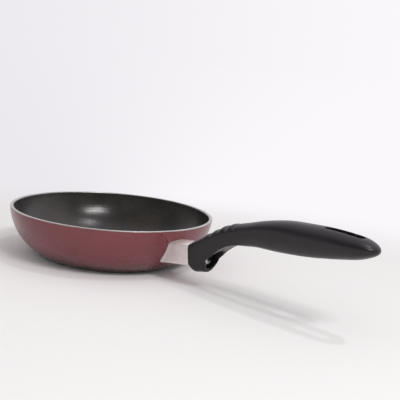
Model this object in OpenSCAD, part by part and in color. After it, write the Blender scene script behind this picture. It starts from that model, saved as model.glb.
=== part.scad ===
// Small omelette pan: a coated aluminium bowl with a black handle held by one screw.
// Origin: centre of the base on the surface it stands on. +Z is up, the handle points along +X.

/* [Bowl] */
// Outside diameter at the rim
rim_d = 180; // [160:1:220]
// Outside diameter of the flat base
base_d = 114; // [90:1:130]
// Height of the rim above the base
bowl_h = 43; // [38:0.5:50]
// Radius of the arc that the wall follows in section
wall_arc_r = 49.7; // [46:0.1:70]
// Thickness of the aluminium wall
wall_t = 2.6; // [1.5:0.1:4]
// Thickness of the aluminium base
base_t = 3; // [2:0.1:5]
// Bevel on both edges of the bare rim
rim_bevel = 0.4; // [0.2:0.1:0.7]

/* [Coatings] */
// Thickness of the enamel on the outside
enamel_t = 0.2; // [0.1:0.05:0.4]
// Thickness of the lining on the inside
lining_t = 0.2; // [0.1:0.05:0.4]
// Height of the bare metal band left under the rim
bare_rim_h = 0.5; // [0.5:0.1:3]
// Height of the bare metal left above the base
bare_foot_h = 0.6; // [0.3:0.1:2]

/* [Base grooves] */
// Distance from one ring to the next
groove_pitch = 4; // [2.5:0.1:6]
// Width of a ring
groove_w = 1.2; // [0.6:0.1:2]
// Depth of a ring
groove_depth = 0.35; // [0.2:0.05:0.8]
// Radius of the innermost ring
groove_r = 14; // [8:0.5:20]
// Width of the smooth land between the last ring and the edge of the base
groove_land = 9; // [6:0.5:20]

/* [Screw line] */
// Height at which the screw's axis meets the wall
stem_z = 20.8; // [18:0.1:24]
// Rise of the screw's axis towards the handle, in degrees
stem_tilt = 8; // [5:0.5:10]
// Length along the screw's axis from the wall to the handle's front face
stem_len = 28; // [22:0.5:40]

/* [Flame guard] */
// Outside width of the sleeve
guard_w = 23.5; // [20:0.1:30]
// Height of the sleeve's flat sides
guard_h = 17; // [15:0.1:22]
// How far the sleeve's underside lies below the screw's axis
guard_low = 6; // [5.5:0.1:8]
// Extra height of the crowned top at its middle
guard_crown = 1.8; // [0.5:0.1:3]
// Thickness of the sleeve
guard_t = 1.4; // [1:0.1:1.6]
// Outside radius of the sleeve's corners
guard_corner = 2.2; // [1.8:0.1:4]
// Gap between the sleeve and the enamel
guard_gap = 0.15; // [0.05:0.05:0.5]

/* [Weld lug] */
// Gap between the lug and the sleeve all round
lug_gap = 0.5; // [0.2:0.1:0.8]
// Gap between the lug and the handle's tongue
lug_end_gap = 1; // [0.5:0.1:3]
// Radius of the lug's long edges
lug_edge_r = 1.2; // [0.5:0.1:2.5]
// Metal left between the threaded hole and the bowl
tap_floor = 5; // [4:0.1:7]

/* [Screw and washers] */
// Thread diameter
screw_d = 5; // [4:0.1:5.5]
// Room between the screw's tip and the bottom of the threaded hole
tip_gap = 1.5; // [0.5:0.1:4]
// Bevel at the screw's tip
tip_bevel = 0.7; // [0.3:0.1:1]
// Diameter of the round head
head_d = 11; // [10:0.1:12]
// Height of the round head
head_h = 3.2; // [2:0.1:4]
// Span of the cross recess in the head
recess_d = 4.2; // [3:0.1:6]
// Width of the cross recess
recess_w = 1.1; // [0.8:0.1:1.6]
// Depth of the cross recess
recess_depth = 1.9; // [1:0.1:2]
// Radial clearance between the screw and the threaded hole
thread_gap = 0.05; // [0.02:0.01:0.15]
// Outside diameter of the plain washer
plain_d = 12; // [11:0.1:13]
// Thickness of the plain washer
plain_t = 1; // [0.6:0.1:1.6]
// Outside diameter of the spring washer
spring_d = 9.2; // [8:0.1:10]
// Thickness of the spring washer
spring_t = 1.3; // [0.8:0.1:1.8]
// Width of the split in the spring washer
split_w = 1; // [0.5:0.1:2]
// Slant of the split, in degrees
split_slant = 20; // [5:1:30]
// Radial clearance of both washers on the screw
washer_gap = 0.2; // [0.1:0.05:0.4]

/* [Handle] */
// Length from the front face to the tip
handle_len = 171; // [140:1:200]
// Height of the grip's crown above the screw's axis at the front face
handle_rise = 51.5; // [40:0.5:65]
// Deepest part of the front lobe, crown to underside
lobe_h = 32.3; // [29:0.1:36]
// Depth of the neck
neck_h = 20.8; // [18:0.1:23]
// Depth of the grip at its fullest
grip_h = 25.3; // [21:0.1:30]
// Depth of the grip where its nose starts
nose_h = 18; // [14:0.1:20]
// Length of the rounded nose
nose_len = 19.5; // [14:0.5:26]
// How far the tip lies below the grip's crown
nose_drop = 8.8; // [5:0.1:11]
// Width of the neck
neck_w = 21.5; // [20:0.1:26]
// Width of the grip at its fullest
grip_w = 26.8; // [23:0.1:32]
// Crown of the grip's top, from its middle down to its shoulders
top_crown = 2.5; // [1:0.1:4]
// How far the front edge stands proud of the sleeve on each side
front_lip = 0.3; // [0.1:0.1:1]
// Radius of the scoop that hollows the underside behind the lobe
scoop_r = 45; // [40:0.5:55]

/* [Handle tongue and screw pocket] */
// Length of the tongue that enters the sleeve
tongue_len = 7.5; // [5:0.5:8.5]
// Gap between the tongue and the sleeve all round
tongue_gap = 0.3; // [0.1:0.05:0.6]
// Thickness of handle between the front face and the washers' seat
seat_depth = 8; // [6.5:0.1:9]
// Diameter of the pocket that the screw is turned through
pocket_d = 15.4; // [13:0.1:16.5]
// Radial clearance of the screw in the handle
bore_gap = 0.3; // [0.1:0.05:0.6]

/* [Hanging slot] */
// Length of the slot
slot_len = 34; // [20:0.5:44]
// Width of the slot
slot_w = 8; // [6:0.1:10]
// Handle left between the slot and the tip
slot_wall = 13; // [10:0.5:20]
// Depth of the shallow dish round the slot
dish_depth = 0.7; // [0.4:0.1:1.5]
// Radius of the dish across the handle
dish_r = 14; // [11:0.5:20]

/* [Thumb ribs] */
// Number of ribs
rib_n = 4; // [2:1:4]
// Distance from one rib to the next
rib_pitch = 7.7; // [7:0.1:8.5]
// Height of a rib from its foot to its crest
rib_h = 1.6; // [0.6:0.1:1.8]
// How far a rib's foot lies below the crown of the handle
rib_sink = 1; // [0.4:0.1:1.2]
// Distance from the front face to the first rib
rib_start = 12.6; // [11:0.1:13.5]
// Width over which a rib fades into the handle
rib_w = 26; // [23:0.5:29]

/* [Hidden] */
$fn = 96;
tiny = 0.01;

// Centre of the wall's arc, which passes through the base's edge and the rim's edge
rim_r = rim_d / 2;
base_r = base_d / 2;
chord = norm([rim_r - base_r, bowl_h]);
chord_off = sqrt(wall_arc_r * wall_arc_r - chord * chord / 4);
arc_x = (rim_r + base_r) / 2 - chord_off * bowl_h / chord;
arc_z = bowl_h / 2 + chord_off * (rim_r - base_r) / chord;

// Outside radius of the bowl at a height
function wall_at(z) = arc_x + sqrt(wall_arc_r * wall_arc_r - (arc_z - z) * (arc_z - z));

// Where the screw's axis crosses the handle's front face
face_x = wall_at(stem_z) + stem_len * cos(stem_tilt);
face_z = stem_z + stem_len * sin(stem_tilt);

// Everything on the screw is placed along its axis, counted from the handle's front face
plain_at = seat_depth;
spring_at = plain_at + plain_t;
head_at = spring_at + spring_t;
lug_end = -tongue_len - lug_end_gap;
tap_end = tap_floor - stem_len;
tip_at = tap_end + tip_gap;
head_dome_r = (head_d * head_d / 4 + head_h * head_h) / (2 * head_h);

// Room that a cut takes beyond the piece that it cuts
over = 20;

/* Bowl */

// Half section of everything inside the bowl's outline, drawn in by inset, between two heights
module bowl_half(inset, low, high) {
    r = wall_arc_r - inset;
    intersection() {
        union() {
            translate([arc_x, arc_z]) circle(r = r);
            translate([0, arc_z - r]) square([arc_x, 2 * r]);
        }
        translate([0, low]) square([rim_d, high - low]);
    }
}

// Everything inside the bowl's outline, which cuts what stands against the wall
module bowl_solid(inset) {
    rotate_extrude() bowl_half(inset, -bowl_h, bowl_h);
}

// Square set on its corner at a point, which bevels an edge
module bevel(x, y, size) {
    translate([x, y]) rotate(45) square(size * sqrt(2), center = true);
}

// Turned rings, as many as fit between the innermost one and the land at the edge
module base_grooves() {
    for (x = [groove_r : groove_pitch : base_r - groove_land - groove_w])
        translate([x, -1]) square([groove_w, 1 + groove_depth]);
}

module pan_body() {
    rim_x = rim_r - enamel_t;
    color([0.80, 0.79, 0.78]) rotate_extrude() difference() {
        bowl_half(enamel_t, 0, bowl_h);
        bowl_half(enamel_t + wall_t, base_t, bowl_h + 1);
        bevel(rim_x, bowl_h, rim_bevel);
        bevel(rim_x - wall_t, bowl_h, rim_bevel);
        base_grooves();
    }
}

module outer_enamel() {
    color([0.45, 0.26, 0.28]) difference() {
        rotate_extrude() difference() {
            bowl_half(0, bare_foot_h, bowl_h - bare_rim_h);
            bowl_half(enamel_t, 0, bowl_h);
        }
        weld_blank();
    }
}

module nonstick_lining() {
    inset = enamel_t + wall_t;
    color([0.22, 0.21, 0.21]) rotate_extrude() difference() {
        bowl_half(inset, base_t, bowl_h - rim_bevel);
        bowl_half(inset + lining_t, base_t + lining_t, bowl_h);
    }
}

/* Screw line */

// Frame at the handle's front face: X runs along the screw's axis away from the bowl
module on_stem() {
    translate([face_x, 0, face_z]) rotate([0, -stem_tilt, 0]) children();
}

// Stands a flat outline across the screw's axis, from one place along it to another
module across(from, to) {
    on_stem() translate([from, 0, 0]) rotate([90, 0, 90])
        linear_extrude(to - from) children();
}

// Round bar on the screw's axis
module bar(from, to, d) {
    on_stem() translate([from, 0, 0]) rotate([0, 90, 0])
        cylinder(h = to - from, d = d);
}

// Rectangle with round corners, given by its width, its low edge and its high edge
module soft_box(w, low, high, r) {
    translate([-w / 2 + r, low]) square([w - 2 * r, high - low]);
    translate([-w / 2, low + r]) square([w, high - low - 2 * r]);
    for (x = [-w / 2 + r, w / 2 - r], y = [low + r, high - r])
        translate([x, y]) circle(r = r);
}

// Outline of the sleeve, drawn in by inset: straight sides under a crowned top
module guard_outline(inset) {
    crown_r = (guard_w * guard_w / 4 + guard_crown * guard_crown) / (2 * guard_crown);
    top = guard_h - guard_low + guard_crown;
    intersection() {
        soft_box(guard_w - 2 * inset, inset - guard_low, top + guard_corner,
                 guard_corner - inset);
        translate([0, top - crown_r]) circle(r = crown_r - inset, $fn = 180);
    }
}

module weld_blank() {
    side = guard_t + lug_gap;
    across(-stem_len - over, lug_end)
        soft_box(guard_w - 2 * side, side - guard_low, guard_h - guard_low - side, lug_edge_r);
}

module weld_lug() {
    color([0.74, 0.74, 0.75]) difference() {
        weld_blank();
        bowl_solid(enamel_t);
        bar(tap_end, lug_end + 1, screw_d + 2 * thread_gap);
    }
}

module flame_guard() {
    color([0.78, 0.75, 0.73]) difference() {
        across(-stem_len - over, 0) guard_outline(0);
        across(-stem_len - over - 1, 1) guard_outline(guard_t);
        bowl_solid(-guard_gap);
    }
}

module cross_recess() {
    for (turn = [0, 90]) rotate([turn, 0, 0])
        cube([2 * recess_depth, recess_w, recess_d], center = true);
}

// Half section of the screw, standing on its tip
module screw_half() {
    length = head_at - tip_at;
    difference() {
        square([screw_d / 2, length + tiny]);
        bevel(screw_d / 2, 0, tip_bevel);
    }
    intersection() {
        translate([0, length]) square([head_d / 2, head_h]);
        translate([0, length + head_h - head_dome_r]) circle(r = head_dome_r);
    }
}

module handle_screw() {
    color([0.82, 0.82, 0.80]) difference() {
        on_stem() translate([tip_at, 0, 0]) rotate([0, 90, 0])
            rotate_extrude() screw_half();
        on_stem() translate([head_at + head_h, 0, 0]) cross_recess();
    }
}

module spring_washer() {
    color([0.66, 0.66, 0.66]) difference() {
        bar(spring_at, head_at, spring_d);
        bar(spring_at - 1, head_at + 1, screw_d + 2 * washer_gap);
        on_stem() translate([spring_at + spring_t / 2, 0, spring_d / 2])
            rotate([split_slant, 0, 0]) cube([2 * spring_t, split_w, spring_d], center = true);
    }
}

module plain_washer() {
    color([0.72, 0.72, 0.72]) difference() {
        bar(plain_at, spring_at, plain_d);
        bar(plain_at - 1, spring_at + 1, screw_d + 2 * washer_gap);
    }
}

/* Handle */

// The handle is lofted through side stations. Each row holds the top point (along, up), the
// underside point (along, up), the half width, how square the section is above and below, how
// much narrower it is at the underside, and how far its shoulders lie below its top. Along and
// up are counted from where the screw's axis crosses the front face.
front_up = guard_h - guard_low + guard_crown;
front_half = guard_w / 2 + front_lip;
function mix(a, b, t) = a + (b - a) * t;

// Row from shares: how far along the top point lies, its share of the rise, how far along the
// underside point lies, the depth between them, and a share of the grip's crown
function station(top_at, rise, low_at, depth, half_w, top_sq, low_sq, taper, crown) =
    let (up = mix(front_up, handle_rise, rise))
    [top_at * handle_len, up, low_at * handle_len, up - depth, half_w, top_sq, low_sq, taper,
     crown * top_crown];
function slim(t) = mix(front_half, neck_w / 2, t);
function full(t) = mix(neck_w, grip_w, t) / 2;
function lobe(t) = mix(lobe_h, neck_h, t);

front_row = [-front_up * sin(stem_tilt), front_up * cos(stem_tilt),
             guard_low * sin(stem_tilt), -guard_low * cos(stem_tilt), front_half, 9, 7, 0,
             guard_crown];

SIDE = [
    front_row,
    station(0.020, 0.088, 0.027, lobe(0.51), front_half, 8, 4, 0.05, 0.72),
    station(0.050, 0.166, 0.048, lobe(0.26), front_half, 7, 2.8, 0.15, 0.8),
    station(0.085, 0.264, 0.074, lobe_h, front_half, 6.5, 2.5, 0.3, 0.88),
    station(0.125, 0.372, 0.108, lobe_h, slim(0.3), 6, 2.5, 0.4, 0.96),
    station(0.170, 0.490, 0.156, lobe(0.22), slim(0.6), 5.5, 2.5, 0.33, 1),
    station(0.231, 0.597, 0.213, lobe(0.70), slim(0.9), 5, 2.5, 0.15, 1),
    station(0.307, 0.695, 0.280, neck_h, slim(1), 5, 2.5, 0.13, 1),
    station(0.406, 0.823, 0.360, mix(neck_h, grip_h, 0.35), full(0.25), 5, 2.4, 0.12, 1.04),
    station(0.523, 0.930, 0.500, grip_h, full(0.6), 4.4, 2.3, 0.1, 1.2),
    station(0.652, 0.977, 0.645, mix(grip_h, nose_h, 0.07), full(0.92), 3.6, 2.3, 0.1, 1.28),
    station(0.780, 1.000, 0.780, mix(grip_h, nose_h, 0.43), full(1), 3, 2.3, 0.1, 1.2),
    station(1 - nose_len / handle_len, 0.984, 1 - nose_len / handle_len, nose_h,
            0.97 * full(1), 2.6, 2.3, 0.1, 0.88)
];
last = len(SIDE) - 1;

// Smooth curve through the rows, with t counting the stations
function row(i) = SIDE[min(max(i, 0), last)];
function spline(t) =
    let (i = min(floor(t), last - 1), f = t - i,
         a = row(i - 1), b = row(i), c = row(i + 1), d = row(i + 2))
    (2 * b + (c - a) * f + (2 * a - 5 * b + 4 * c - d) * f * f
     + (3 * b - a - 3 * c + d) * f * f * f) / 2;

// The nose closes the last station towards the tip like an ellipse, at u from 0 to 1
nose_slope = 0.07;
nose_taper = 0.12;
function nose(u) =
    let (s = SIDE[last], shrink = sqrt(max(1 - u * u, 0)),
         mid = (s[1] + s[3]) / 2, tip = handle_rise - nose_drop,
         z = mix(mid + nose_slope * nose_len * u, tip, u * u),
         half = ((s[1] - s[3]) / 2 - nose_taper * nose_len * u) * shrink,
         x = s[0] + nose_len * u)
    [x, z + half, x, z - half, s[4] * shrink, s[5], s[6], s[7], s[8] * shrink];

// Shingled thumb ribs: each rises sharply on the bowl's side and falls gently towards the grip
rib_rise = 0.3;
rib_fade = 6;
function rib(x) =
    let (s = (x - rib_start) / rib_pitch, f = s - floor(s))
    s < 0 || s > rib_n ? 0 :
    rib_h * (f < rib_rise ? f / rib_rise : (1 - f) / (1 - rib_rise)) - rib_sink;

// One closed section: a rounded square about the line from the underside point to the top point
ring_n = 36;

// How far out a rounded square lies in a direction, from round at 2 to nearly sharp at 9
function reach(a, sq) = pow(pow(abs(cos(a)), sq) + pow(abs(sin(a)), sq), -1 / sq);
function ring(s) = [
    for (k = [0 : ring_n - 1])
        let (a = 360 * (k + 0.5) / ring_n,
             r = reach(a, sin(a) > 0 ? s[5] : s[6]),
             v = r * sin(a),
             side = r * cos(a),
             drop = s[8] * side * side * max(v, 0) / norm([s[0] - s[2], s[1] - s[3]]),
             t = (v + 1) / 2 - drop,
             y = s[4] * side * (1 - s[7] * (1 - t)),
             fade = sin(a) > 0 ? max(1 - pow(2 * y / rib_w, rib_fade), 0) : 0)
        [mix(s[2], s[0], t), y, mix(s[3], s[1], t) + fade * rib(s[0])]
];

// Sections lie closer together where the ribs are
rib_from = 2.25;
rib_to = 6.5;
nose_steps = 8;
SECTIONS = [
    for (t = [0 : 1 / 4 : rib_from - tiny]) spline(t),
    for (t = [rib_from : 1 / 8 : rib_to - tiny]) spline(t),
    for (t = [rib_to : 1 / 4 : last + tiny]) spline(min(t, last)),
    for (k = [1 : nose_steps - 1]) nose(sin(90 * k / nose_steps))
];

// Skin over the sections, closed by a flat front and a pointed tip
module loft(sections, tip) {
    n = len(sections);
    points = [for (s = sections) each ring(s), tip];
    faces = [
        [for (k = [0 : ring_n - 1]) k],
        for (i = [0 : n - 2], k = [0 : ring_n - 1])
            let (a = i * ring_n + k, b = i * ring_n + (k + 1) % ring_n)
            each [[a, a + ring_n, b + ring_n], [a, b + ring_n, b]],
        for (k = [0 : ring_n - 1])
            [(n - 1) * ring_n + k, n * ring_n, (n - 1) * ring_n + (k + 1) % ring_n]
    ];
    polyhedron(points = points, faces = faces);
}

// Height of the handle's top at a distance along it
function top_seek(x, low, high, left) =
    let (t = (low + high) / 2, s = spline(t))
    left == 0 ? s[1] : s[0] < x ? top_seek(x, t, high, left - 1) : top_seek(x, low, t, left - 1);
function top_at(x) = top_seek(x, 0, last, 24);

// Scoop behind the lobe, a cylinder whose top just bites into the neck's underside. The screw's
// pocket opens into it.
scoop_at = 7.6;
scoop_bite = 0.3;
scoop_top = [spline(scoop_at)[2], spline(scoop_at)[3] + scoop_bite];
pocket_end = 0.6 * scoop_top[0];
module scoop() {
    translate([scoop_top[0], 0, scoop_top[1] - scoop_r]) rotate([90, 0, 0])
        cylinder(h = 2 * grip_w, r = scoop_r, center = true, $fn = 180);
}

slot_far = handle_len - slot_wall - slot_w / 2;
slot_near = slot_far - slot_len + slot_w;
module hanging_slot() {
    linear_extrude(2 * handle_rise) {
        for (x = [slot_near, slot_far]) translate([x, 0]) circle(d = slot_w);
        translate([slot_near, -slot_w / 2]) square([slot_far - slot_near, slot_w]);
    }
}

module dish() {
    low = [slot_near, top_at(slot_near) + dish_r - dish_depth];
    high = [slot_far, top_at(slot_far) + dish_r - dish_depth];
    for (p = [low, high]) translate([p[0], 0, p[1]]) sphere(r = dish_r);
    translate([low[0], 0, low[1]])
        rotate([0, atan2(high[0] - low[0], high[1] - low[1]), 0])
            cylinder(h = norm(high - low), r = dish_r);
}

// The tongue runs on into the lobe as far as its root
tongue_root = 3;
module tongue() {
    across(-tongue_len, tongue_root) guard_outline(guard_t + tongue_gap);
}

module handle() {
    color([0.19, 0.18, 0.19]) difference() {
        union() {
            translate([face_x, 0, face_z]) difference() {
                loft(SECTIONS, [handle_len, 0, handle_rise - nose_drop]);
                scoop();
                dish();
                hanging_slot();
            }
            tongue();
        }
        bar(-tongue_len - 1, seat_depth + 1, screw_d + 2 * bore_gap);
        bar(seat_depth, pocket_end, pocket_d);
    }
}

pan_body();
outer_enamel();
nonstick_lining();
weld_lug();
flame_guard();
handle();
handle_screw();
spring_washer();
plain_washer();
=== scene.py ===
"""Looks of a small omelette pan: a maroon bowl, a dark lining and a curved plastic handle.

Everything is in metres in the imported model's frame. X runs from the bowl's centre out along the
handle, Z is up, and the base stands on the floor at Z = 0.
"""

from __future__ import annotations

import logging  # noqa: E402
import math  # noqa: E402
from collections.abc import Callable  # noqa: E402
from dataclasses import dataclass  # noqa: E402
from enum import Enum  # noqa: E402

import bmesh  # noqa: E402
import bpy  # noqa: E402
from mathutils import Matrix, Vector  # noqa: E402


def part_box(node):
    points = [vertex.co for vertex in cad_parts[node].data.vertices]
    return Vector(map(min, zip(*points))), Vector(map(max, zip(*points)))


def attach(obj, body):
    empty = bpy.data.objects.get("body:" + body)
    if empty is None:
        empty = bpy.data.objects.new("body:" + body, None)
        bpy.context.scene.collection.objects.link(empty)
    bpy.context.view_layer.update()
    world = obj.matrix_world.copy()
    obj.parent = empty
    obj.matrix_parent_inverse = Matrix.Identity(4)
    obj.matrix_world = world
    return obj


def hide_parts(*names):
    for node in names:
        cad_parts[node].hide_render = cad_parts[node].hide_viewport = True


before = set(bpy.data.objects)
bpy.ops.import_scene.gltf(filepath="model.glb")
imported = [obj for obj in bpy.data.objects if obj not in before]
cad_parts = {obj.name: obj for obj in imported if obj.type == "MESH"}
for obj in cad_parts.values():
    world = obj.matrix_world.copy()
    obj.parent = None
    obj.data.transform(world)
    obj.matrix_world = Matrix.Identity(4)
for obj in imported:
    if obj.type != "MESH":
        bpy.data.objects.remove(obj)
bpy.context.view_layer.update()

LOG = logging.getLogger("omelette_pan")
MM = 0.001
ROOT = "root"

Colour = tuple[float, float, float, float]
Point = tuple[float, float, float]
Flat = tuple[float, float]
Outline = list[Flat]
Faces = list[tuple[int, ...]]
Row = tuple[float, ...]
Thing = bpy.types.Object
Material = bpy.types.Material
Made = list[tuple[Thing, str, str]]


def paint(red: float, green: float, blue: float) -> Colour:
    """Turn a screen colour into the linear one that shaders take.

    Args:
        red, green, blue: Shares from 0 to 255, as a paint chart gives them.

    Returns:
        The linear colour with full alpha.
    """

    def linear(share: float) -> float:
        """Linear share for one of the three."""
        s = share / 255
        return s / 12.92 if s <= 0.04045 else ((s + 0.055) / 1.055) ** 2.4

    return (linear(red), linear(green), linear(blue), 1.0)


def mix(a: float, b: float, t: float) -> float:
    """Number that lies the share t of the way from a to b."""
    return a + (b - a) * t


# Nodes


def operator(operation: str) -> tuple[Callable, Callable]:
    """Make an operator that adds a Math node, and its reflected form.

    Args:
        operation: The Math node's operation.

    Returns:
        The method for a value that comes first, and the one for a value that comes last.
    """

    def forward(self: Value, other: Value | float) -> Value:
        """Math node with the value first."""
        return self.math(operation, self, other)

    def reflected(self: Value, other: Value | float) -> Value:
        """Math node with the value last."""
        return self.math(operation, other, self)

    return forward, reflected


class Value:
    """An output socket on which plain arithmetic adds Math nodes to its tree."""

    __add__, __radd__ = operator("ADD")
    __sub__, __rsub__ = operator("SUBTRACT")
    __mul__, __rmul__ = operator("MULTIPLY")
    __truediv__, __rtruediv__ = operator("DIVIDE")
    __pow__, __rpow__ = operator("POWER")

    def __init__(self, bench: Bench, socket: bpy.types.NodeSocket | None) -> None:
        """Keep the bench that makes the nodes, and the socket itself."""
        self.bench, self.socket = bench, socket

    def math(self, operation: str, *terms: Value | float) -> Value:
        """Math node on some terms, in their order."""
        return self.bench.make("ShaderNodeMath", {"operation": operation}, dict(enumerate(terms)))

    def __abs__(self) -> Value:
        """Absolute value."""
        return self.math("ABSOLUTE", self)

    def fraction(self) -> Value:
        """What is left of the number after its whole part."""
        return self.math("FRACT", self)

    def floor(self) -> Value:
        """Whole part of the number."""
        return self.math("FLOOR", self)

    def least(self, other: Value | float) -> Value:
        """The lesser of two."""
        return self.math("MINIMUM", self, other)

    def most(self, other: Value | float) -> Value:
        """The greater of two."""
        return self.math("MAXIMUM", self, other)

    def sine(self) -> Value:
        """Sine of the angle in radians."""
        return self.math("SINE", self)

    def cosine(self) -> Value:
        """Cosine of the angle in radians."""
        return self.math("COSINE", self)

    def step(self, low: Value | float, high: Value | float, start: float = 0.0,
             end: float = 1.0) -> Value:
        """Smooth step.

        Args:
            low: Where the step begins.
            high: Where the step is complete.
            start: Result before the step.
            end: Result after the step.

        Returns:
            The stepped number.
        """
        inputs = {"Value": self, "From Min": low, "From Max": high, "To Min": start, "To Max": end}
        return self.bench.make("ShaderNodeMapRange", {"interpolation_type": "SMOOTHSTEP"}, inputs)


class Bench:
    """Workbench that makes the nodes of one tree."""

    def __init__(self, tree: bpy.types.NodeTree) -> None:
        """Start on a tree."""
        self.tree = tree

    def make(self, kind: str, settings: dict | None = None, inputs: dict | None = None,
             output: str | int = 0) -> Value:
        """Make a node, set it, and feed its sockets.

        Args:
            kind: The node's type name.
            settings: Properties of the node, set before its sockets.
            inputs: Numbers, colours or values by socket name or number.
            output: Name or number of the output wanted.

        Returns:
            That output.
        """
        node = self.tree.nodes.new(kind)
        for key, setting in (settings or {}).items():
            setattr(node, key, setting)
        for key, feed in (inputs or {}).items():
            socket = self.pick(node.inputs, key)
            if isinstance(feed, Value):
                self.tree.links.new(feed.socket, socket)
            else:
                socket.default_value = feed
        return Value(self, self.pick(node.outputs, output) if node.outputs else None)

    @staticmethod
    def pick(sockets: bpy.types.bpy_prop_collection, key: str | int) -> bpy.types.NodeSocket:
        """Socket with a name that is in use, or with a number.

        Args:
            sockets: The sockets to pick from.
            key: A name or a number.

        Returns:
            The socket. A name must be that of one in use.
        """
        if isinstance(key, int):
            return sockets[key]
        return next(s for s in sockets if s.name == key and s.enabled)

    def blend(self, share: Value | float, a: Value | Colour, b: Value | Colour) -> Value:
        """Colour that lies the given share of the way from a to b."""
        inputs = {"Factor": share, "A": a, "B": b}
        return self.make("ShaderNodeMix", {"data_type": "RGBA"}, inputs, "Result")

    def noise(self, place: Value, scale: float, detail: float, rough: float = 0.5) -> Value:
        """Noise of about scale waves to the metre."""
        inputs = {"Vector": place, "Scale": scale, "Detail": detail, "Roughness": rough}
        return self.make("ShaderNodeTexNoise", {}, inputs)

    def uneven(self, place: Value, scale: float, middle: float, less: float,
               more: float) -> Value:
        """Number that noise moves about a middle one, by less and more at the most."""
        return self.noise(place, scale, 3).step(0.3, 0.7, middle + less, middle + more)

    def stretched(self, place: Value, factors: Point) -> Value:
        """Place scaled along each axis."""
        settings = {"vector_type": "POINT"}
        return self.make("ShaderNodeMapping", settings, {"Vector": place, "Scale": factors})

    def split(self, vector: Value) -> tuple[Value, Value, Value]:
        """The three numbers of a vector.

        Args:
            vector: The vector.

        Returns:
            Its X, Y and Z.
        """
        first = self.make("ShaderNodeSeparateXYZ", {}, {"Vector": vector})
        node = first.socket.node
        return first, Value(self, node.outputs["Y"]), Value(self, node.outputs["Z"])

    def place(self) -> Value:
        """Place on the piece, in its Object coordinates."""
        return self.make("ShaderNodeTexCoord", output="Object")

    def join(self, x: Value | float, y: Value | float, z: Value | float) -> Value:
        """Vector of three numbers."""
        return self.make("ShaderNodeCombineXYZ", {}, {"X": x, "Y": y, "Z": z})

    def relief(self, height: Value, depth: float) -> Value:
        """Normal bent by a height from 0 to 1 that stands for a real depth."""
        inputs = {"Height": height, "Distance": depth, "Strength": 1.0}
        return self.make("ShaderNodeBump", {}, inputs)


def canvas(name: str) -> tuple[Material, Bench, Value]:
    """Start a material with an empty tree.

    Args:
        name: The material's name.

    Returns:
        The material, a bench for its nodes, and the place on the piece.
    """
    material = bpy.data.materials.new(name)
    material.use_nodes = True
    material.node_tree.nodes.clear()
    bench = Bench(material.node_tree)
    return material, bench, bench.place()


def surface(bench: Bench, **inputs: Value | float | Colour) -> None:
    """Wire a Principled surface to the output.

    Args:
        bench: The material's bench.
        inputs: What feeds the sockets, with underscores for the spaces in their names.
    """
    named = {key.replace("_", " "): feed for key, feed in inputs.items()}
    shader = bench.make("ShaderNodeBsdfPrincipled", {}, named)
    bench.make("ShaderNodeOutputMaterial", {}, {"Surface": shader})


def from_axis(x: Value, y: Value) -> Value:
    """Distance from the axis."""
    return (x * x + y * y) ** 0.5


def ringed(radius: Value, pitch: float) -> Value:
    """Waves from 0 to 1 round the axis, a pitch apart."""
    return (radius * (2 * math.pi / pitch)).sine() * 0.5 + 0.5


# Finishes


@dataclass(frozen=True)
class Enamel:
    """Glossy fired enamel: maroon, slightly uneven, with a fine orange peel."""

    name: str = "maroon_enamel"
    colour: Colour = paint(113, 48, 55)
    deep: Colour = paint(106, 43, 50)
    # Painted shade: a dark colour, and the height it fades out by, for the lower wall near the
    # foot.
    painted_foot_shade: Colour = paint(36, 18, 20)
    foot_shade_height: float = 18 * MM
    chipped: Colour = paint(168, 150, 148)
    edge: float = 42.4 * MM
    edge_run: float = 0.3 * MM
    edge_wear: float = 0.5
    fleck_share: float = 0.02
    roughness: float = 0.27
    gloss: float = 0.25
    gloss_roughness: float = 0.12
    peel: float = 0.01 * MM
    cloud: float = 22
    haze: float = 70
    orange: float = 450
    grit: float = 900
    fleck: float = 2600

    def make(self) -> Material:
        """Build the material.

        Returns:
            The material.
        """
        material, bench, place = canvas(self.name)
        height = bench.split(place)[2]
        uneven = bench.noise(place, self.cloud, 3)
        body = bench.blend(uneven.step(0.35, 0.65), self.deep, self.colour)
        # Painted shade: the enamel is blended to dark maroon towards the foot, where the wall faces
        # the shaded floor.
        body = bench.blend(height.step(0.0, self.foot_shade_height) ** 0.5, self.painted_foot_shade, body)
        near_edge = height.step(self.edge - self.edge_run, self.edge)
        worn = near_edge * bench.noise(place, self.grit, 2).step(0.5, 0.6) * self.edge_wear
        fleck = bench.noise(place, self.fleck, 1).step(0.68, 0.74) * self.fleck_share
        colour = bench.blend(worn.most(fleck), body, self.chipped)
        rough = bench.uneven(place, self.haze, self.roughness, -0.03, 0.04)
        normal = bench.relief(bench.noise(place, self.orange, 3), self.peel)
        surface(bench, Base_Color=colour, Roughness=rough, Normal=normal,
                Coat_Weight=self.gloss, Coat_Roughness=self.gloss_roughness)
        return material


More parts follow.
